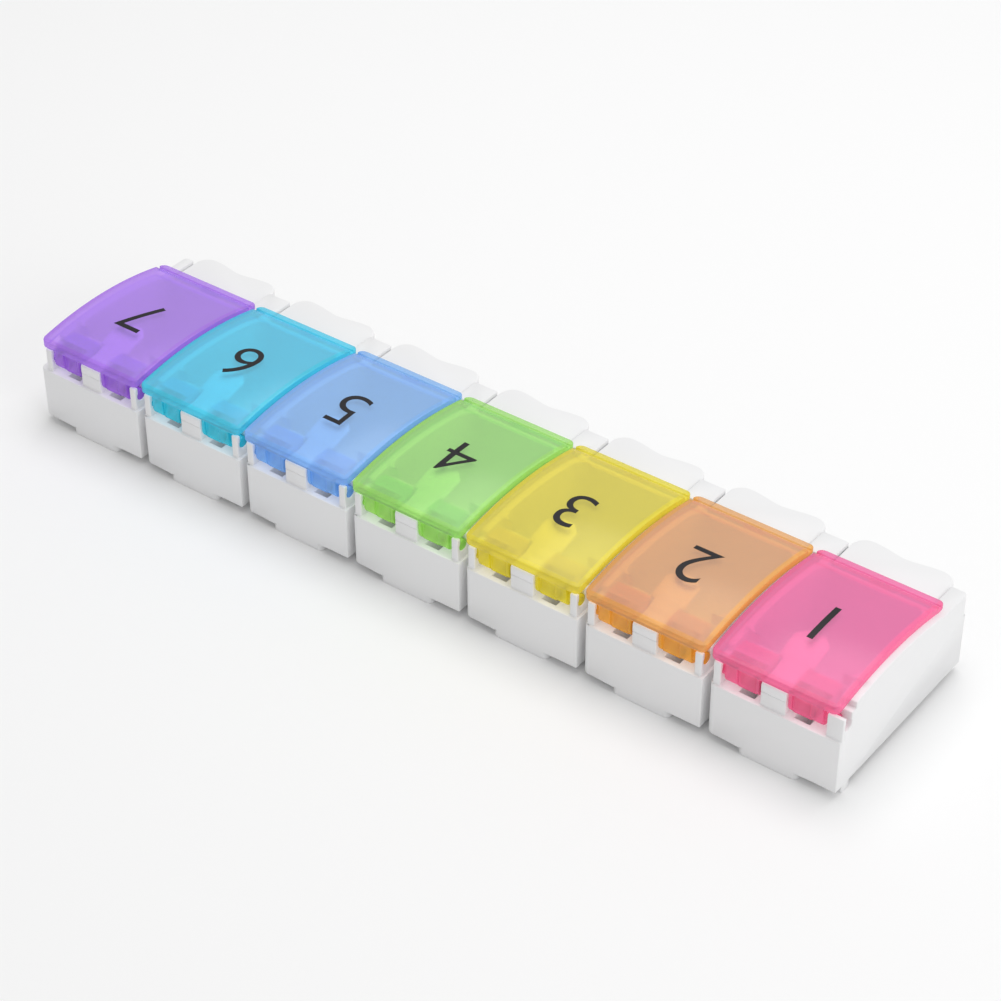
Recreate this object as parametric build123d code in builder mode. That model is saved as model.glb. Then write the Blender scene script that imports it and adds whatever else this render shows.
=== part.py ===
"""Seven-day pill organizer with push-button lids: one moulded base, seven arched lids on snap-in
hinge pins, seven leaf springs that lift them, seven push buttons and the springs under the buttons.

Millimetres. X runs along the row of tubs, -Y is the hinge side, +Y the push-button side, +Z is up.
The origin lies at the bottom centre of the whole object.
"""
from math import sqrt
import os

from build123d import *

# ---- Driving dimensions -------------------------------------------------------------------------
DAYS = ("sat", "fri", "thu", "wed", "tue", "mon", "sun")
PITCH = 33.5  # from tub to tub
TUB_W = 32.0  # width of one tub's front face
END_EXTRA = 1.5  # how far the two outermost tubs are wider
BASE_D = 54.0  # front face to the rear of the posts
LEDGE_Z = 14.1  # top of the thick lower body
LEDGE_SET = 0.75  # how far the wall above the ledge is set in
TUB_IN = 13.4  # half the width inside a tub
CORNER_R = 2.0  # upright front corners of a tub
END_CORNER_R = 1.2  # the same at the flush end wall
FLOOR_T = 1.6
WALL_T = 1.6  # rear wall, and the wall between compartment and well
POST_Z = 20.2  # top of the posts
POST_W = 6.9  # post between two buttons
SCOOP_R = 9.0  # round front and rear of a pill compartment's floor
POCKET_R = 3.0  # round sides of a pill compartment

FOOT_H = 2.0
FOOT_W = 15.5
FOOT_D = 5.5
FOOT_R = 1.5
NUB_W = 2.4
NUB_D = 3.0
NUB_Y = 2.7

LID_W = 32.2
LID_FRONT = 0.3
LID_END_Z = 23.0  # top of the lid at both ends of its arch
LID_CROWN = 2.3  # rise of the arch
ARCH_END = BASE_D - 11.2  # where the arch ends and the groove begins
GROOVE_W = 1.2
GROOVE_Z = 22.0
STRIP_Z = 22.6  # front of the rear strip's top
STRIP_END_Z = 22.2
LID_REAR = BASE_D - 8.0
LID_T = 1.3
RIM_H = 2.0
RIM_T = 1.3
RIM_GAP = 0.25  # between a lid's rim and the wall under it
LID_CORNER_R = 1.6

HINGE_Y = 3.0
HINGE_Z = 17.6
PIN_R = 1.4
PIN_FIT = 0.05  # radial running clearance of a hinge pin
PIN_END = 15.1  # half the distance over the two pins
NECK_W = 2.3  # mouth of the notch that a pin snaps through
LUG_R = 2.3
OUTER_LUG = (9.2, 12.4)
INNER_LUG = (3.7, 4.6)
EAR_REAR = 8.6
WEB_FRONT = 1.6  # the web between two lugs is set back to here
WEB_T = 1.2

EAR_REAR_Z = 19.0  # where an ear's underside meets its rear face
WEB_LOW_Z = 15.4
EAR_BLOCK_Z = 18.2  # underside of an ear behind its web

TROUGH_REAR = 10.2
SLOT_IN = 5.0
SLOT_OUT = 9.0
SLOT_FRONT = 1.6
SLOT_REAR = 8.8
FRONT_WALL_Z = 20.0
COMP_FRONT = 11.6
COMP_REAR = BASE_D - 11.4
WELL_FRONT = COMP_REAR + WALL_T
WELL_REAR = BASE_D - WALL_T
WELL_SILL_Z = 8.2
POST_FRONT = BASE_D - 7.8
POST_CORNER_R = 1.0
RIB_FRONT = COMP_REAR - 1.2  # front face of the lid's rear rib

SADDLE_FRONT = 0.8  # rib in the trough that carries the leaf spring's head
SADDLE_REAR = 8.4
SADDLE_Z = 17.8
TENON_HALF_W = 1.4
TENON_H = 1.3
TENON_FRONT = 2.2
HEAD_HALF_W = 3.2  # leaf spring's head between the inner lugs
HEAD_REAR = 9.6
HEAD_TOP_Z = 20.4
HEAD_R = 0.8
TONGUE_FOOT = 6.0
TONGUE_RISE = 0.3
TONGUE_END_CUT = 2.4
TONGUE_W = 8.8
TONGUE_T = 0.9
TONGUE_END = 18.5
TONGUE_END_Z = 23.6

BUTTON_TOP_Z = 19.6
TAB_T = 1.6
BUTTON_FRONT = POST_FRONT + 0.2
BUTTON_REAR = BASE_D + 4.5
BUTTON_CLEAR = 0.25
BUTTON_CORNER_R = 4.0
SCOOP_DEPTH = 1.2
APRON_T = 1.3
CHEEK_T = 1.2
TRAVEL = 1.8
STOP_GAP = 0.4  # left under a button pressed fully down
LUG_OUT = 0.9  # how far a cheek's retaining lug stands out
LUG_LOW_Z = 12.4
LUG_H = 1.6
LUG_STOP = 0.1  # play above a lug at rest
LUG_FRONT = BASE_D - 5.4
LUG_REAR = BASE_D - 2.6
BUTTON_EDGE = 0.35
OVERHANG_Y = BASE_D + 3.0  # where the hollow under the overhang begins
NOSE_HALF_W = 1.1
NOSE_FRONT = POST_FRONT - 0.4
NOSE_REAR = NOSE_FRONT + 2.0
NOSE_TIP_Y = NOSE_FRONT + 1.0
NOSE_MID_Z = 16.6
NOSE_LOW_Z = 14.2

KEEPER_HALF_W = 4.6
KEEPER_RIB_T = 1.3
KEEPER_REAR = POST_FRONT + 0.8
KEEPER_Z = 15.6
LIP_T = 1.25
LIP_H = 1.6
CATCH_HALF_W = 2.5
CATCH_FRONT = WELL_FRONT + 0.3
CATCH_REAR = CATCH_FRONT + 0.8
CATCH_LOW_Z = 12.4
CATCH_MID = CATCH_FRONT + 0.4  # rear edge of the catch's tapered end
BARB_REAR = CATCH_REAR + 0.1
BARB_Z = 13.7
BARB_H = 0.5

LEAF_W = 3.2
LEAF_T = 0.6
LEAF_Y = LUG_FRONT
LEAF_FOOT = 12.4
PILLAR_IN = 11.2
PILLAR_Z = 10.2

# ---- Worked out ---------------------------------------------------------------------------------
TUB_HALF = TUB_W / 2
END_HALF = TUB_HALF + END_EXTRA
UPPER_HALF = TUB_HALF - LEDGE_SET
LID_HALF = LID_W / 2
POST_IN = PITCH / 2 - POST_W / 2
ARCH_HALF = (ARCH_END - LID_FRONT) / 2
ARCH_MID = (ARCH_END + LID_FRONT) / 2
ARCH_R = (ARCH_HALF**2 + LID_CROWN**2) / (2 * LID_CROWN)
ARCH_AXIS_Z = LID_END_Z + LID_CROWN - ARCH_R
BUTTON_HALF_W = POST_IN - BUTTON_CLEAR
APRON_LOW_Z = WELL_SILL_Z + TRAVEL + STOP_GAP
HOLLOW_LOW_Z = BUTTON_TOP_Z - TAB_T - (OVERHANG_Y - BASE_D)
STRIP_Y = ARCH_END + GROOVE_W
FRONT = -BUTTON_REAR / 2  # the front face in the object's frame
TUB_X = {day: (n - (len(DAYS) - 1) / 2) * PITCH for n, day in enumerate(DAYS)}
FIRST_X = TUB_X[DAYS[0]]
LAST_X = TUB_X[DAYS[-1]]


def side_plane(x):
    """Upright plane across the row at x: sketch X is the depth from the front, sketch Y the height."""
    return Plane(origin=(x, FRONT, FOOT_H), x_dir=(0, 1, 0), z_dir=(1, 0, 0))


def level_plane(x, z):
    """Level plane over the tub at x: sketch X is across the tub, sketch Y the depth from the front."""
    return Plane(origin=(x, FRONT, FOOT_H + z), x_dir=(1, 0, 0), z_dir=(0, 0, 1))


def front_plane(x, y):
    """Upright plane along the row, facing the rear, at the depth y: sketch X runs to the left."""
    return Plane(origin=(x, FRONT + y, FOOT_H), x_dir=(-1, 0, 0), z_dir=(0, 1, 0))


def arch_z(y, drop):
    """Height of the lid's arch, or of a curve that runs a drop below it, at the depth y."""
    return ARCH_AXIS_Z + sqrt((ARCH_R - drop) ** 2 - (y - ARCH_MID) ** 2)


def box_sketch(x0, x1, y0, y1):
    """Rectangle between two corners, for use inside a sketch."""
    with Locations(((x0 + x1) / 2, (y0 + y1) / 2)):
        Rectangle(x1 - x0, y1 - y0)


# ---- Base ---------------------------------------------------------------------------------------
def wall_block():
    """One tub above the ledge, still solid: a front post, the snap-in notch for a hinge pin and a top
    edge that follows the lid's rim."""
    drop = RIM_H + RIM_GAP
    rise_y = HINGE_Y + LUG_R + 0.6
    with BuildPart() as block:
        with BuildSketch(side_plane(-UPPER_HALF)):
            with BuildLine():
                Polyline(
                    (rise_y, arch_z(rise_y, drop)),
                    (rise_y, POST_Z),
                    (LEDGE_SET, POST_Z),
                    (LEDGE_SET, LEDGE_Z - LEDGE_SET),
                    (POST_FRONT, LEDGE_Z - LEDGE_SET),
                    (POST_FRONT, POST_Z),
                    (COMP_REAR, POST_Z),
                    (COMP_REAR, arch_z(COMP_REAR, drop)),
                )
                ThreePointArc(
                    (COMP_REAR, arch_z(COMP_REAR, drop)),
                    (ARCH_MID, arch_z(ARCH_MID, drop)),
                    (rise_y, arch_z(rise_y, drop)),
                )
            make_face()
            with Locations((HINGE_Y, HINGE_Z)):
                Circle(PIN_R + PIN_FIT, mode=Mode.SUBTRACT)
            with Locations((HINGE_Y, (HINGE_Z + POST_Z + 1) / 2)):
                Rectangle(NECK_W, POST_Z + 1 - HINGE_Z, mode=Mode.SUBTRACT)
        extrude(amount=2 * UPPER_HALF)
    return block.part


def compartment():
    """Space for the pills, with a floor that curves up to the front and the rear."""
    top = LID_END_Z + LID_CROWN
    with BuildPart() as space:
        with BuildSketch(side_plane(-TUB_IN)) as section:
            box_sketch(COMP_FRONT, COMP_REAR, FLOOR_T, top)
            fillet(section.vertices().group_by(Axis.Y)[0], SCOOP_R)
        extrude(amount=2 * TUB_IN)
        ends = space.faces().filter_by(Axis.X).edges()
        fillet(ends.filter_by(lambda edge: edge.center().Z < FOOT_H + top - 0.1), POCKET_R)
    return space.part


def trough_and_well():
    """What is open in front of and behind the pills: the trough for the lid's ears and its spring,
    the well under the push button, and the slots that its retaining lugs slide in."""
    top = LID_END_Z + LID_CROWN
    with BuildPart() as space:
        with BuildSketch(level_plane(0, LEDGE_Z)):
            box_sketch(-TUB_IN, TUB_IN, -1, TROUGH_REAR)
        extrude(amount=top - LEDGE_Z)
        with BuildSketch(level_plane(0, FRONT_WALL_Z)):
            box_sketch(-TUB_IN, TUB_IN, TROUGH_REAR, COMP_FRONT)
        extrude(amount=top - FRONT_WALL_Z)
        with BuildSketch(level_plane(0, FLOOR_T)):
            for side in (-1, 1):
                with Locations((side * (SLOT_IN + SLOT_OUT) / 2, (SLOT_FRONT + SLOT_REAR) / 2)):
                    Rectangle(SLOT_OUT - SLOT_IN, SLOT_REAR - SLOT_FRONT)
        extrude(amount=LEDGE_Z)
        with BuildSketch(level_plane(0, FLOOR_T)):
            box_sketch(-POST_IN, POST_IN, WELL_FRONT, WELL_REAR)
        extrude(amount=top - FLOOR_T)
        with BuildSketch(level_plane(0, WELL_SILL_Z)):
            box_sketch(-POST_IN, POST_IN, WELL_REAR, BASE_D + 1)
        extrude(amount=top - WELL_SILL_Z)
        with BuildSketch(level_plane(0, LUG_LOW_Z - TRAVEL - STOP_GAP)):
            box_sketch(-POST_IN - LUG_OUT, POST_IN + LUG_OUT, LUG_FRONT - STOP_GAP, LUG_REAR + STOP_GAP)
        extrude(amount=TRAVEL + STOP_GAP + LUG_H + LUG_STOP)
    return space.part


def fittings():
    """What stands up inside a tub: the rib that carries the lid's spring, the keeper that the lid's
    catch snaps under, and two pillars for the button's leaf spring."""
    with BuildPart() as inside:
        with BuildSketch(level_plane(0, LEDGE_Z)):
            box_sketch(-HEAD_HALF_W, HEAD_HALF_W, SADDLE_FRONT, TROUGH_REAR)
        extrude(amount=SADDLE_Z - LEDGE_Z)
        with BuildSketch(level_plane(0, SADDLE_Z)):
            box_sketch(-TENON_HALF_W, TENON_HALF_W, TENON_FRONT, SADDLE_REAR)
        extrude(amount=TENON_H)
        with BuildSketch(level_plane(0, FLOOR_T)):
            for side in (-1, 1):
                with Locations((side * (KEEPER_HALF_W - KEEPER_RIB_T / 2), (WELL_FRONT + KEEPER_REAR) / 2)):
                    Rectangle(KEEPER_RIB_T, KEEPER_REAR - WELL_FRONT)
        extrude(amount=KEEPER_Z - FLOOR_T)
        with BuildSketch(level_plane(0, KEEPER_Z - LIP_H)):
            box_sketch(-KEEPER_HALF_W, KEEPER_HALF_W, KEEPER_REAR - LIP_T, KEEPER_REAR)
            with Locations((0, KEEPER_REAR)):
                Rectangle(2 * NOSE_HALF_W + 0.6, 4 * LIP_T, mode=Mode.SUBTRACT)
        extrude(amount=LIP_H)
        with BuildSketch(level_plane(0, FLOOR_T)):
            for side in (-1, 1):
                with Locations((side * (PILLAR_IN + POST_IN) / 2, (KEEPER_REAR + WELL_REAR) / 2)):
                    Rectangle(POST_IN - PILLAR_IN, WELL_REAR - KEEPER_REAR)
        extrude(amount=PILLAR_Z - FLOOR_T)
    return inside.part


def base_tray():
    """The tray is one moulding: seven tubs joined by a floor web and by the block of rear posts."""
    walls, pills, hollow, inside = wall_block(), compartment(), trough_and_well(), fittings()
    tub_places = [(x, 0, 0) for x in TUB_X.values()]
    with BuildPart() as tray:
        # Thick lower bodies with rounded upright front corners; the two at the ends are wider.
        for x in TUB_X.values():
            left = END_HALF if x == FIRST_X else TUB_HALF
            right = END_HALF if x == LAST_X else TUB_HALF
            with BuildSketch(level_plane(x, 0)) as footprint:
                box_sketch(-left, right, 0, BASE_D)
                front_corners = footprint.vertices().group_by(Axis.Y)[0].sort_by(Axis.X)
                fillet(front_corners[0], CORNER_R)
                fillet(front_corners[-1], END_CORNER_R if x == LAST_X else CORNER_R)
            extrude(amount=LEDGE_Z)
        # Web under the gaps between the tubs, and the block that the posts are cut from.
        with BuildSketch(level_plane(0, 0)):
            box_sketch(FIRST_X, LAST_X, 2 * CORNER_R, BASE_D)
        extrude(amount=FLOOR_T)
        with BuildSketch(level_plane(0, 0)) as post_block:
            box_sketch(FIRST_X - TUB_HALF, LAST_X + END_HALF, POST_FRONT, BASE_D)
            fillet(post_block.vertices().group_by(Axis.Y)[-1], POST_CORNER_R)
        extrude(amount=POST_Z)
        # Walls above the ledge; at the last tub's end the wall is flush from top to bottom.
        with Locations(*tub_places):
            add(walls)
        with Locations((LAST_X + END_HALF - UPPER_HALF, 0, 0)):
            add(walls)
        with Locations(*tub_places):
            add(hollow, mode=Mode.SUBTRACT)
            add(pills, mode=Mode.SUBTRACT)
            add(inside)
        # Feet at the front and rear of every tub, and a nub under both end walls.
        with BuildSketch(level_plane(0, 0)):
            with Locations(*[(x, y) for x in TUB_X.values() for y in (FOOT_D / 2, BASE_D - FOOT_D / 2)]):
                RectangleRounded(FOOT_W, FOOT_D, FOOT_R)
            nub_x = LAST_X + END_HALF - NUB_W / 2
            with Locations((nub_x, NUB_Y + NUB_D / 2), (-nub_x, NUB_Y + NUB_D / 2)):
                Rectangle(NUB_W, NUB_D)
        extrude(amount=-FOOT_H)
    return tray.part


def tray_section(day, whole_tray):
    """One tub's share of the tray, which the seven sections make up without a gap: they meet in the
    middle of the gaps between the tubs, where only the floor web and the posts run across."""
    x = TUB_X[day]
    with BuildPart() as section:
        add(whole_tray)
        if x != FIRST_X:
            split(bisect_by=Plane.YZ.offset(x - PITCH / 2), keep=Keep.TOP)
        if x != LAST_X:
            split(bisect_by=Plane.YZ.offset(x + PITCH / 2), keep=Keep.BOTTOM)
    section.part.label = "tray_" + day
    return section.part


# ---- Lids ---------------------------------------------------------------------------------------
def lid(day):
    """Arched lid with its rim, rear strip, catch and two ears that carry the hinge pins."""
    x = TUB_X[day]
    under_strip = STRIP_END_Z - LID_T
    ear_top = arch_z(HINGE_Y - LUG_R, LID_T / 2)
    with BuildPart() as cover:
        # Arch, groove and strip, seen from the side.
        with BuildSketch(side_plane(x - LID_HALF)):
            with BuildLine():
                ThreePointArc(
                    (LID_FRONT, LID_END_Z),
                    (ARCH_MID, LID_END_Z + LID_CROWN),
                    (ARCH_END, LID_END_Z),
                )
                Polyline(
                    (ARCH_END, LID_END_Z),
                    (ARCH_END, GROOVE_Z),
                    (STRIP_Y, GROOVE_Z),
                    (STRIP_Y, STRIP_Z),
                    (LID_REAR, STRIP_END_Z),
                    (LID_REAR, under_strip),
                    (ARCH_END, under_strip),
                    (ARCH_END, LID_END_Z - RIM_H),
                )
                ThreePointArc(
                    (ARCH_END, LID_END_Z - RIM_H),
                    (ARCH_MID, LID_END_Z + LID_CROWN - RIM_H),
                    (LID_FRONT, LID_END_Z - RIM_H),
                )
                Line((LID_FRONT, LID_END_Z - RIM_H), (LID_FRONT, LID_END_Z))
            make_face()
        extrude(amount=LID_W)
        uprights = cover.edges().filter_by(Axis.Z).group_by(Axis.Y)
        fillet(uprights[0] + uprights[-1], LID_CORNER_R)
        # Hollow under the plate; a rib stays standing in front of the strip.
        with BuildSketch(side_plane(x - LID_HALF + RIM_T)):
            with BuildLine():
                inner_front = LID_FRONT + RIM_T
                ThreePointArc(
                    (inner_front, arch_z(inner_front, LID_T)),
                    (ARCH_MID, arch_z(ARCH_MID, LID_T)),
                    (RIB_FRONT, arch_z(RIB_FRONT, LID_T)),
                )
                Polyline(
                    (RIB_FRONT, arch_z(RIB_FRONT, LID_T)),
                    (RIB_FRONT, LUG_LOW_Z),
                    (inner_front, LUG_LOW_Z),
                    (inner_front, arch_z(inner_front, LID_T)),
                )
            make_face()
        extrude(amount=LID_W - 2 * RIM_T, mode=Mode.SUBTRACT)
        # Lugs of the two ears, rounded about the pins.
        for side in (-1, 1):
            for near, far in (OUTER_LUG, INNER_LUG):
                with BuildSketch(side_plane(x + side * (near + far) / 2)):
                    with BuildLine():
                        Polyline(
                            (HINGE_Y - LUG_R, HINGE_Z),
                            (HINGE_Y - LUG_R, ear_top),
                            (EAR_REAR, ear_top),
                            (EAR_REAR, EAR_REAR_Z),
                            (HINGE_Y, HINGE_Z - LUG_R),
                        )
                        RadiusArc((HINGE_Y, HINGE_Z - LUG_R), (HINGE_Y - LUG_R, HINGE_Z), LUG_R)
                    make_face()
                extrude(amount=(far - near) / 2, both=True)
            # Web between the two lugs: a thin face in front, a block behind it.
            with BuildSketch(side_plane(x + side * (INNER_LUG[1] + OUTER_LUG[0]) / 2)):
                with BuildLine():
                    Polyline(
                        (WEB_FRONT, WEB_LOW_Z),
                        (WEB_FRONT + WEB_T, WEB_LOW_Z),
                        (WEB_FRONT + WEB_T, EAR_BLOCK_Z),
                        (EAR_REAR, EAR_BLOCK_Z),
                        (EAR_REAR, ear_top),
                        (WEB_FRONT, ear_top),
                        close=True,
                    )
                make_face()
            extrude(amount=(OUTER_LUG[0] - INNER_LUG[1]) / 2, both=True)
            # Hinge pin, from inside the lug to its end in the base's notch.
            with BuildSketch(side_plane(x + side * OUTER_LUG[0])):
                with Locations((HINGE_Y, HINGE_Z)):
                    Circle(PIN_R)
            extrude(amount=side * (PIN_END - OUTER_LUG[0]))
        # Catch tab with its barb.
        with BuildSketch(side_plane(x)):
            with BuildLine():
                Polyline((CATCH_FRONT, under_strip), (CATCH_FRONT, CATCH_LOW_Z), (CATCH_MID, CATCH_LOW_Z),
                         (BARB_REAR, BARB_Z - BARB_H), (BARB_REAR, BARB_Z), (CATCH_REAR, BARB_Z),
                         (CATCH_REAR, under_strip), close=True)
            make_face()
        extrude(amount=CATCH_HALF_W, both=True)
    cover.part.label = "lid_" + day
    return cover.part


def lid_spring(day):
    """Leaf spring that lifts a lid: a head seated on the tray's rib, and a tongue up to the lid."""
    x = TUB_X[day]
    with BuildPart() as spring:
        with BuildSketch(level_plane(x, SADDLE_Z)):
            box_sketch(-HEAD_HALF_W, HEAD_HALF_W, SADDLE_FRONT, HEAD_REAR)
        extrude(amount=HEAD_TOP_Z - SADDLE_Z)
        front_top = spring.edges().filter_by(Axis.X).group_by(Axis.Z)[-1].sort_by(Axis.Y)[0]
        fillet(front_top, HEAD_R)
        # Side view of the tongue, cut out to its rounded plan.
        with BuildSketch(side_plane(x)):
            with BuildLine() as path:
                Spline((TONGUE_FOOT, HEAD_TOP_Z - TONGUE_T), (TONGUE_END, TONGUE_END_Z - TONGUE_T),
                       tangents=((1, TONGUE_RISE), (1, 0)))
                Line((TONGUE_END, TONGUE_END_Z - TONGUE_T), (TONGUE_END, TONGUE_END_Z))
                Spline((TONGUE_END, TONGUE_END_Z), (TONGUE_FOOT, HEAD_TOP_Z),
                       tangents=((-1, 0), (-1, -TONGUE_RISE)))
                Line((TONGUE_FOOT, HEAD_TOP_Z), (TONGUE_FOOT, HEAD_TOP_Z - TONGUE_T))
            make_face()
        extrude(amount=TONGUE_W / 2, both=True)
        # The sides beside the head are cut away, so that the tongue widens behind the inner lugs.
        with BuildSketch(level_plane(x, SADDLE_Z)):
            for side in (-1, 1):
                with Locations((side * (HEAD_HALF_W + TONGUE_W) / 2, (HEAD_REAR - TROUGH_REAR) / 2)):
                    Rectangle(TONGUE_W - HEAD_HALF_W, HEAD_REAR + TROUGH_REAR)
        extrude(amount=TONGUE_END_Z - SADDLE_Z + 1, mode=Mode.SUBTRACT)
        chamfer(spring.edges().filter_by(Axis.Z).group_by(Axis.Y)[-1], TONGUE_END_CUT)
        # Groove that fits over the rib's tenon.
        with BuildSketch(level_plane(x, SADDLE_Z)):
            half_groove = TENON_HALF_W + PIN_FIT
            box_sketch(-half_groove, half_groove, TENON_FRONT - PIN_FIT, SADDLE_REAR + PIN_FIT)
        extrude(amount=TENON_H + PIN_FIT, mode=Mode.SUBTRACT)
    spring.part.label = "lid_spring_" + day
    return spring.part


# ---- Push buttons -------------------------------------------------------------------------------
def push_button(day):
    """Thumb tab with a scooped edge, an apron over the well, two guided cheeks and the wedge nose."""
    x = TUB_X[day]
    tab_low = BUTTON_TOP_Z - TAB_T
    with BuildPart() as button:
        # Side view: tab, overhang with a hollow underside, apron.
        with BuildSketch(side_plane(x)):
            with BuildLine():
                Polyline((BASE_D, HOLLOW_LOW_Z), (BASE_D, APRON_LOW_Z), (BASE_D - APRON_T, APRON_LOW_Z),
                         (BASE_D - APRON_T, tab_low), (BUTTON_FRONT, tab_low), (BUTTON_FRONT, BUTTON_TOP_Z),
                         (BUTTON_REAR, BUTTON_TOP_Z), (BUTTON_REAR, tab_low), (OVERHANG_Y, tab_low))
                RadiusArc((OVERHANG_Y, tab_low), (BASE_D, HOLLOW_LOW_Z), OVERHANG_Y - BASE_D)
            make_face()
        extrude(amount=BUTTON_HALF_W, both=True)
        # Plan outline: round corners and a shallow thumb scoop in the rear edge.
        with BuildSketch(level_plane(x, APRON_LOW_Z)):
            with BuildLine() as outline:
                Line((-BUTTON_HALF_W, BUTTON_FRONT), (BUTTON_HALF_W, BUTTON_FRONT))
                Line((BUTTON_HALF_W, BUTTON_FRONT), (BUTTON_HALF_W, BUTTON_REAR - BUTTON_CORNER_R))
                Line((-BUTTON_HALF_W, BUTTON_FRONT), (-BUTTON_HALF_W, BUTTON_REAR - BUTTON_CORNER_R))
                for side in (-1, 1):
                    corner = (side * BUTTON_HALF_W, BUTTON_REAR - BUTTON_CORNER_R)
                    RadiusArc(corner, (side * (BUTTON_HALF_W - BUTTON_CORNER_R), BUTTON_REAR),
                              -side * BUTTON_CORNER_R)
                Spline((BUTTON_CORNER_R - BUTTON_HALF_W, BUTTON_REAR), (0, BUTTON_REAR - SCOOP_DEPTH),
                       (BUTTON_HALF_W - BUTTON_CORNER_R, BUTTON_REAR), tangents=((1, 0), (1, 0)))
            make_face()
        extrude(amount=BUTTON_TOP_Z - APRON_LOW_Z, mode=Mode.INTERSECT)
        chamfer(button.faces().sort_by(Axis.Z)[-1].edges(), BUTTON_EDGE)
        # Cheeks that slide between the posts, with the lugs that hold the button in.
        for side in (-1, 1):
            with BuildSketch(level_plane(x, LUG_LOW_Z)):
                with Locations((side * (BUTTON_HALF_W - CHEEK_T / 2), (KEEPER_REAR + WELL_REAR) / 2)):
                    Rectangle(CHEEK_T, WELL_REAR - KEEPER_REAR)
            extrude(amount=tab_low - LUG_LOW_Z)
            with BuildSketch(front_plane(x, LUG_FRONT)):
                with BuildLine():
                    lug_tip = -side * (BUTTON_HALF_W + LUG_OUT)
                    Polyline((-side * BUTTON_HALF_W, LUG_LOW_Z), (lug_tip, LUG_LOW_Z + LUG_H / 2),
                             (lug_tip, LUG_LOW_Z + LUG_H),
                             (-side * BUTTON_HALF_W, LUG_LOW_Z + LUG_H), close=True)
                make_face()
            extrude(amount=LUG_REAR - LUG_FRONT)
        # Wedge nose that pushes the lid's catch off its keeper.
        with BuildSketch(side_plane(x)):
            with BuildLine():
                Polyline((NOSE_FRONT, tab_low), (NOSE_FRONT, NOSE_MID_Z), (NOSE_TIP_Y, NOSE_LOW_Z),
                         (NOSE_REAR, NOSE_LOW_Z), (NOSE_REAR, tab_low), close=True)
            make_face()
        extrude(amount=NOSE_HALF_W, both=True)
    button.part.label = "push_button_" + day
    return button.part


def button_spring(day):
    """Bowed leaf that stands on two pillars of the well and carries its push button."""
    x = TUB_X[day]
    apex = BUTTON_TOP_Z - TAB_T
    with BuildPart() as spring:
        with BuildSketch(front_plane(x, LEAF_Y)):
            with BuildLine():
                ThreePointArc((-LEAF_FOOT, PILLAR_Z), (0, apex), (LEAF_FOOT, PILLAR_Z))
                Line((LEAF_FOOT, PILLAR_Z), (LEAF_FOOT - LEAF_T, PILLAR_Z))
                ThreePointArc(
                    (LEAF_FOOT - LEAF_T, PILLAR_Z), (0, apex - LEAF_T), (LEAF_T - LEAF_FOOT, PILLAR_Z)
                )
                Line((LEAF_T - LEAF_FOOT, PILLAR_Z), (-LEAF_FOOT, PILLAR_Z))
            make_face()
        extrude(amount=LEAF_W)
    spring.part.label = "button_spring_" + day
    return spring.part


# ---- Files --------------------------------------------------------------------------------------
os.makedirs("parts", exist_ok=True)
whole = base_tray()
for day_name in DAYS:
    tub = tray_section(day_name, whole)
    export_step(tub, "parts/" + tub.label + ".step")
    for make_piece in (lid, lid_spring, push_button, button_spring):
        piece = make_piece(day_name)
        export_step(piece, "parts/" + piece.label + ".step")
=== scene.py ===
"""Seven-day pill organizer: white moulded tray, seven tinted sprung lids, seven push tabs."""
import math

import bmesh
import bpy
from mathutils import Matrix, Vector
from mathutils.bvhtree import BVHTree


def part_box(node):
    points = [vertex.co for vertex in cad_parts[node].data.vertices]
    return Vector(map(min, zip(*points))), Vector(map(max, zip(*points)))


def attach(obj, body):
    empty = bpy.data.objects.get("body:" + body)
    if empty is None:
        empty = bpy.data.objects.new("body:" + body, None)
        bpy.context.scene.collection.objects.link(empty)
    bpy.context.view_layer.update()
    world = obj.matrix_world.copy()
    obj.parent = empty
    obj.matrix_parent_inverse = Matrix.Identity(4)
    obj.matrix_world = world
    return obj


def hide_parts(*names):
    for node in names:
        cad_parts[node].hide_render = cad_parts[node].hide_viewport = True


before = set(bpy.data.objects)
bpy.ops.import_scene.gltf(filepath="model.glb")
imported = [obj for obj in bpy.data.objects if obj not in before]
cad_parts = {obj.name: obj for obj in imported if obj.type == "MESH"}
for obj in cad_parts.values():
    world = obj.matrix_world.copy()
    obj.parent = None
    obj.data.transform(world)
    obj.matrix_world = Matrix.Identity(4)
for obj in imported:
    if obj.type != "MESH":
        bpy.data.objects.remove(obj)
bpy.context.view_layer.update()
MM = 0.001


# ---- White tray ---------------------------------------------------------------------------------
# One injection moulding of white polypropylene: seven tubs in a row on low feet. It carries every
# other piece. Its skin has the faint orange peel and the soft gloss of a polished mould, and its
# edges are broken by the small radius that any mould leaves.
class Signal:
    """A shader socket that takes part in sums, products and differences like a number."""

    def __init__(self, finish, socket):
        self.finish = finish
        self.socket = socket

    def _maths(self, operation, first, second):
        return self.finish.add("ShaderNodeMath", {"operation": operation}, {0: first, 1: second})

    def __add__(self, other):
        return self._maths("ADD", self, other)

    def __radd__(self, other):
        return self._maths("ADD", other, self)

    def __sub__(self, other):
        return self._maths("SUBTRACT", self, other)

    def __rsub__(self, other):
        return self._maths("SUBTRACT", other, self)

    def __mul__(self, other):
        return self._maths("MULTIPLY", self, other)

    def __rmul__(self, other):
        return self._maths("MULTIPLY", other, self)


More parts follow.
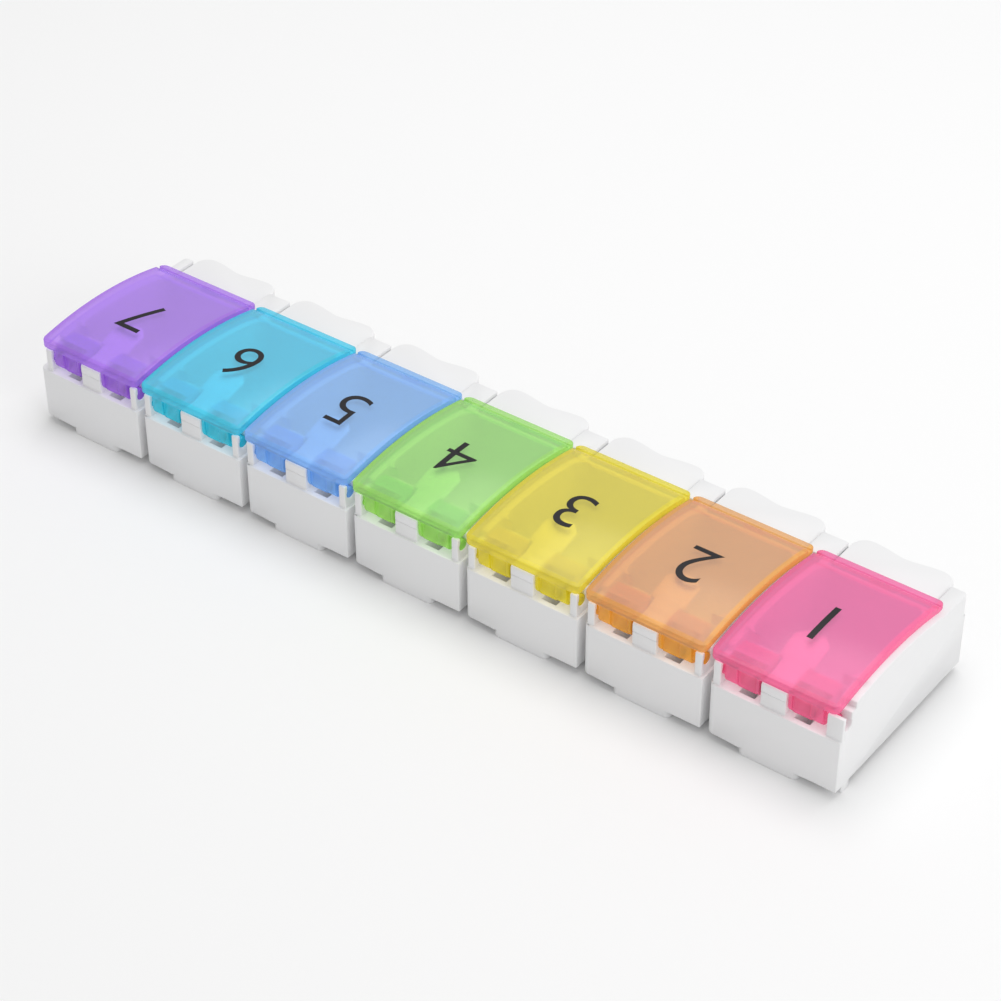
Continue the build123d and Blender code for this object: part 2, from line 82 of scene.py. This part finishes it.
class Finish:
    """One moulded finish: a new material whose nodes are all made by add."""

    def __init__(self, name):
        self.material = bpy.data.materials.new(name)
        self.material.use_nodes = True
        self.tree = self.material.node_tree
        self.tree.nodes.clear()

    def add(self, kind, settings, sockets, output=0):
        node = self.tree.nodes.new(kind)
        for key, value in settings.items():
            setattr(node, key, value)
        for key, value in sockets.items():
            if isinstance(value, Signal):
                self.tree.links.new(value.socket, node.inputs[key])
            else:
                node.inputs[key].default_value = value
        return Signal(self, node.outputs[output]) if node.outputs else self.material

    def end(self, surface):
        return self.add("ShaderNodeOutputMaterial", {}, {"Surface": surface})


WELD = 0.002 * MM  # points nearer than this are one
FLAT = math.radians(0.5)  # faces that turn less than this are one face
CRISP = math.radians(30)  # edges sharper than this get the mould's radius
SHADED_SHARP = math.radians(35)
PLASTIC_IOR = 1.49
PEEL_SCALE = 700.0
PEEL_HEIGHT = 0.03 * MM
WHITE_CLOUDS = 60.0
WHITE_SHADE = 0.985  # darkest share of the tone in a cloud
WHITE_PEEL = 0.12
TRAY_WHITE = (0.82, 0.82, 0.825)
TRAY_EDGE = 0.22 * MM
DAYS = ("sat", "fri", "thu", "wed", "tue", "mon", "sun")


def object_place(finish):
    """Object coordinates, which are output 3 of their node."""
    return finish.add("ShaderNodeTexCoord", {}, {}, output=3)


def clouds(finish, scale):
    """Slow unevenness of a moulded surface, from 0 to 1."""
    return finish.add("ShaderNodeTexNoise", {},
                      {"Vector": object_place(finish), "Scale": scale, "Detail": 3.0})


def orange_peel(finish, strength):
    """Normal of a polished moulding that shrank a little as it cooled."""
    return finish.add("ShaderNodeBump", {}, {"Strength": strength, "Distance": PEEL_HEIGHT,
                                             "Height": clouds(finish, PEEL_SCALE)})


def colour_mix(finish, factor, first, second):
    """Colour between two others. Of the Mix node's sockets, 6, 7 and output 2 carry colours."""
    return finish.add("ShaderNodeMix", {"data_type": "RGBA"},
                      {"Factor": factor, 6: first, 7: second}, output=2)


def opaque(tone, share=1.0):
    return (*[channel * share for channel in tone], 1)


def white_plastic(name, tone):
    finish = Finish(name)
    cloud = clouds(finish, WHITE_CLOUDS)
    plastic = finish.add("ShaderNodeBsdfPrincipled", {}, {
        "Base Color": colour_mix(finish, cloud, opaque(tone, WHITE_SHADE), opaque(tone)),
        "Roughness": 0.28 + 0.10 * cloud, "IOR": PLASTIC_IOR,
        "Normal": orange_peel(finish, WHITE_PEEL)})
    return finish.end(plastic)


def softened(name, nodes, edge_radius, material, joins=()):
    """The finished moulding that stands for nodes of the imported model, with its edges rounded.

    The nodes of one moulding meet on planes across X, the joins, and become one skin there."""
    moulding = bmesh.new()
    for node in nodes:
        moulding.from_mesh(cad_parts[node].data)
    inside = [face for face in moulding.faces
              if any(all(abs(vert.co.x - join) < WELD for vert in face.verts) for join in joins)]
    bmesh.ops.delete(moulding, geom=inside, context="FACES")
    bmesh.ops.remove_doubles(moulding, verts=moulding.verts, dist=WELD)
    bmesh.ops.dissolve_limit(moulding, angle_limit=FLAT, verts=moulding.verts,
                             edges=moulding.edges)
    skin = BVHTree.FromBMesh(moulding)
    crisp = [edge for edge in moulding.edges if edge.calc_face_angle(0) > CRISP]
    bmesh.ops.bevel(moulding, geom=crisp, offset=edge_radius, offset_type="OFFSET", segments=2,
                    profile=0.5, affect="EDGES", clamp_overlap=False, material=-1)
    for vert in moulding.verts:
        nearest, _, _, distance = skin.find_nearest(vert.co)
        if distance > edge_radius / 2:  # a rounding that ran out of room
            vert.co = nearest
    mesh = bpy.data.meshes.new(name)
    moulding.to_mesh(mesh)
    moulding.free()
    mesh.materials.clear()
    mesh.materials.append(material)
    mesh.polygons.foreach_set("use_smooth", [True] * len(mesh.polygons))
    mesh.set_sharp_from_angle(angle=SHADED_SHARP)
    piece = bpy.data.objects.new(name, mesh)
    bpy.context.collection.objects.link(piece)
    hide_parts(*nodes)
    return piece


tray = softened("finished_tray", ["tray_" + day for day in DAYS], TRAY_EDGE,
                white_plastic("tray white polypropylene", TRAY_WHITE),
                joins=[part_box("tray_" + day)[1].x for day in DAYS[:-1]])
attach(tray, "base")

# ---- Push buttons and springs -------------------------------------------------------------------
# White thumb tabs between the rear posts, and the white leaf springs under the tabs and the lids.
# The tabs are the tray's polypropylene, the springs a stiffer acetal, and all of them are loose
# mouldings that snap or rest in the tray.
BUTTON_WHITE = (0.83, 0.83, 0.835)
SPRING_WHITE = (0.83, 0.83, 0.84)
SMALL_EDGE = 0.15 * MM
button_plastic = white_plastic("button white polypropylene", BUTTON_WHITE)
spring_plastic = white_plastic("spring white acetal", SPRING_WHITE)
for day in DAYS:
    button = softened("finished_button_" + day, ["push_button_" + day], SMALL_EDGE,
                      button_plastic)
    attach(button, "button_" + day)
    lid_spring = softened("finished_spring_" + day, ["lid_spring_" + day], SMALL_EDGE,
                          spring_plastic)
    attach(lid_spring, "base")
    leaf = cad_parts["button_spring_" + day]
    leaf.data.materials.clear()
    leaf.data.materials.append(spring_plastic)

# ---- Lids ---------------------------------------------------------------------------------------
# Arched covers of tinted translucent polypropylene, one colour a day. The thin plate looks milky,
# while the rim and the moulded ears that end in the hinge pins are thick and so deeper in colour.
LID_COLOURS = {  # name of the colour, thin plate, thick rim and ears, light that passes
    "sat": ("purple", (0.63, 0.45, 0.94), (0.43, 0.19, 0.76), (0.78, 0.56, 1.00)),
    "fri": ("cyan", (0.29, 0.74, 0.94), (0.05, 0.64, 0.78), (0.34, 0.91, 1.00)),
    "thu": ("blue", (0.51, 0.72, 0.97), (0.25, 0.52, 0.94), (0.57, 0.78, 1.00)),
    "wed": ("green", (0.52, 0.79, 0.43), (0.41, 0.76, 0.16), (0.77, 1.00, 0.52)),
    "tue": ("yellow", (0.84, 0.78, 0.25), (0.82, 0.71, 0.04), (1.00, 0.94, 0.29)),
    "mon": ("orange", (0.84, 0.60, 0.48), (0.88, 0.45, 0.06), (1.00, 0.75, 0.35)),
    "sun": ("pink", (0.97, 0.37, 0.67), (0.94, 0.18, 0.37), (1.00, 0.50, 0.68)),
}
LID_EDGE = 0.22 * MM
HAZE = 0.38  # how much of one surface of a lid scatters light instead of letting it through
THICK_HAZE = 0.17  # how much more of it the rim and the ears scatter
LID_CLOUDS = 45.0
LID_SHADE = 0.96  # darkest share of the plate's tone in a cloud
LID_PEEL = 0.08
ARCH_LENGTH = 42.5 * MM
ARCH_RISE = 2.3 * MM
PLATE_SKIN = 1.6 * MM  # depth from which a point belongs to a thick part
SKIN_FADE = 1.0 * MM
RIM_BAND = 1.5 * MM
RIM_FADE = 0.5 * MM
RIM_DEPTH_SHARE = 0.7  # colour of the rim's top, between the plate's and the ears'


def fade_in(finish, signal, start, width):
    """From 0 where signal is start to 1 where it is start plus width."""
    return finish.add("ShaderNodeMath", {"operation": "MULTIPLY_ADD", "use_clamp": True},
                      {0: signal, 1: 1 / width, 2: -start / width})


def larger(finish, first, second):
    return finish.add("ShaderNodeMath", {"operation": "MAXIMUM"}, {0: first, 1: second})


def thickness(finish, low, high):
    """From 0 in a lid's thin plate to 1 in its ears, with its rim's top between them."""
    place = object_place(finish)
    x, y, z = (finish.add("ShaderNodeSeparateXYZ", {}, {0: place}, output=axis)
               for axis in range(3))
    ahead = (low.y + ARCH_LENGTH / 2) - y  # of the middle of the arch, towards the hinge
    arch_top = high.z - 4 * ARCH_RISE / ARCH_LENGTH**2 * (ahead * ahead)
    beside = finish.add("ShaderNodeMath", {"operation": "ABSOLUTE"},
                        {0: x - (low.x + high.x) / 2})
    rim = larger(finish,
                 fade_in(finish, beside, (high.x - low.x) / 2 - RIM_BAND, RIM_FADE),
                 fade_in(finish, ahead, ARCH_LENGTH / 2 - RIM_BAND, RIM_FADE))
    below = fade_in(finish, arch_top - z, PLATE_SKIN, SKIN_FADE)
    return larger(finish, below, RIM_DEPTH_SHARE * rim)


def tinted_plastic(name, thin, thick, light, low, high):
    finish = Finish("tinted polypropylene " + name)
    mass = thickness(finish, low, high)
    cloud = clouds(finish, LID_CLOUDS)
    plate_tone = colour_mix(finish, cloud, opaque(thin, LID_SHADE), opaque(thin))
    plastic = finish.add("ShaderNodeBsdfPrincipled", {}, {
        "Base Color": colour_mix(finish, mass, plate_tone, opaque(thick)),
        "Roughness": 0.14 + 0.10 * cloud, "IOR": PLASTIC_IOR,
        "Normal": orange_peel(finish, LID_PEEL)})
    clear = finish.add("ShaderNodeBsdfTransparent", {}, {"Color": opaque(light)})
    return finish.end(finish.add("ShaderNodeMixShader", {},
                                 {"Fac": HAZE + THICK_HAZE * mass, 1: clear, 2: plastic}))


for day, (colour_name, thin, thick, light) in LID_COLOURS.items():
    lid = softened("finished_lid_" + day, ["lid_" + day], LID_EDGE,
                   tinted_plastic(colour_name, thin, thick, light, *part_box("lid_" + day)))
    lid.visible_shadow = False  # the real plastic scatters nearly all light onwards
    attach(lid, "lid_" + day)

# ---- Printed numbers ----------------------------------------------------------------------------
# A plain number in thin black ink on every lid, from 1 to 7, that reads from the push-button side.
# The print is a film of ink that lies on the arch of the plate.
INK_BLACK = (0.010, 0.008, 0.010)
INK_GRAIN = 300.0
INK_HEIGHT = 12.5 * MM
INK_BASELINE = 27.0 * MM  # from the front face of the tray
INK_FILM = 0.03 * MM
INK_STRIPS = 16  # across a number, so that it bends with the arch
THINNER_STROKE = -0.008  # share of the letter size
OVER_THE_LID = 1.0  # height in metres from which a ray falls on the plate
ink = Finish("black pad-printing ink")
ink_material = ink.end(ink.add("ShaderNodeBsdfPrincipled", {}, {
    "Base Color": opaque(INK_BLACK), "Specular IOR Level": 0.3,
    "Roughness": 0.30 + 0.15 * clouds(ink, INK_GRAIN)}))
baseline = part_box("tray_sun")[0].y + INK_BASELINE
for number, day in enumerate(reversed(DAYS), start=1):
    low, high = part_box("lid_" + day)
    plate = bmesh.new()
    plate.from_mesh(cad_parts["lid_" + day].data)
    plate_top = BVHTree.FromBMesh(plate)
    plate.free()
    figure = bpy.data.curves.new("figure", "FONT")
    figure.body = str(number)
    figure.align_x = "CENTER"
    figure.offset = THINNER_STROKE
    figure_object = bpy.data.objects.new("figure", figure)
    print_mesh = bpy.data.meshes.new_from_object(figure_object)
    bpy.data.objects.remove(figure_object)
    film = bmesh.new()
    film.from_mesh(print_mesh)
    figure_top = max(vert.co.y for vert in film.verts)
    place = (Matrix.Translation(((low.x + high.x) / 2, baseline, 0))
             @ Matrix.Rotation(math.pi, 4, "Z") @ Matrix.Scale(INK_HEIGHT / figure_top, 4))
    bmesh.ops.transform(film, matrix=place, verts=film.verts)
    for strip in range(1, INK_STRIPS):
        cut_y = baseline - INK_HEIGHT * strip / INK_STRIPS
        bmesh.ops.bisect_plane(film, geom=film.verts[:] + film.edges[:] + film.faces[:],
                               plane_co=(0, cut_y, 0), plane_no=(0, 1, 0))
    for vert in film.verts:
        above = Vector((vert.co.x, vert.co.y, OVER_THE_LID))
        vert.co.z = plate_top.ray_cast(above, Vector((0, 0, -1)))[0].z + INK_FILM
    film.to_mesh(print_mesh)
    film.free()
    print_mesh.materials.append(ink_material)
    printed = bpy.data.objects.new("printed_number_" + day, print_mesh)
    bpy.context.collection.objects.link(printed)
    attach(printed, "lid_" + day)

# ---- Floor, light and camera --------------------------------------------------------------------
# A pale sweep of matt paper under soft studio light, seen from the hinge side and from the right.
PAPER_HALF = 3.0
PAPER_TONE = (0.9, 0.9, 0.9)
ROOM_LIGHT = 0.60
floor_mesh = bpy.data.meshes.new("paper floor")
paper = bmesh.new()
bmesh.ops.create_grid(paper, x_segments=1, y_segments=1, size=PAPER_HALF)
paper.to_mesh(floor_mesh)
paper.free()
floor = bpy.data.objects.new("paper_floor", floor_mesh)
bpy.context.collection.objects.link(floor)
paper_finish = Finish("matt paper")
floor_mesh.materials.append(paper_finish.end(paper_finish.add(
    "ShaderNodeBsdfPrincipled", {}, {"Base Color": opaque(PAPER_TONE), "Roughness": 0.9})))

studio = bpy.data.worlds.new("studio")
studio.use_nodes = True
studio_light = studio.node_tree.nodes["Background"].inputs
studio_light["Color"].default_value = (1, 1, 1, 1)
studio_light["Strength"].default_value = ROOM_LIGHT
bpy.context.scene.world = studio


def softbox(name, place, size, power):
    """A square lamp that points at the middle of the floor."""
    lamp = bpy.data.lights.new(name, "AREA")
    lamp.shape = "SQUARE"
    lamp.size = size
    lamp.energy = power
    lamp_object = bpy.data.objects.new(name, lamp)
    bpy.context.collection.objects.link(lamp_object)
    lamp_object.location = place
    lamp_object.rotation_euler = (-Vector(place)).to_track_quat("-Z", "Y").to_euler()


softbox("top softbox", place=(0.0, 0.25, 0.9), size=0.8, power=4.4)
softbox("right softbox", place=(0.9, -0.1, 0.35), size=0.6, power=2.0)

# The camera was solved from the row of seven equal tubs.
AZIMUTH = math.radians(36.967)
ELEVATION = math.radians(37.293)
ROLL = math.radians(-0.128)
CAMERA_PLACE = Vector((314.35, -409.51, 402.66)) * MM
SENSOR_WIDTH = 36
FOCAL_LENGTH = 96.85
back = Vector((math.sin(AZIMUTH) * math.cos(ELEVATION), -math.cos(AZIMUTH) * math.cos(ELEVATION),
               math.sin(ELEVATION)))
right = Vector((0, 0, 1)).cross(back).normalized()
up = back.cross(right)
rolled_right = math.cos(ROLL) * right + math.sin(ROLL) * up
rolled_up = math.cos(ROLL) * up - math.sin(ROLL) * right
camera = bpy.data.cameras.new("photo camera")
camera.sensor_width = SENSOR_WIDTH
camera.lens = FOCAL_LENGTH
camera_object = bpy.data.objects.new("photo camera", camera)
camera_object.matrix_world = Matrix.Translation(CAMERA_PLACE) @ Matrix(
    (rolled_right, rolled_up, back)).transposed().to_4x4()
bpy.context.collection.objects.link(camera_object)
bpy.context.scene.camera = camera_object
bpy.context.scene.view_settings.view_transform = "Standard"
bpy.context.scene.cycles.transparent_max_bounces = 32  # a view may cross many lid surfaces
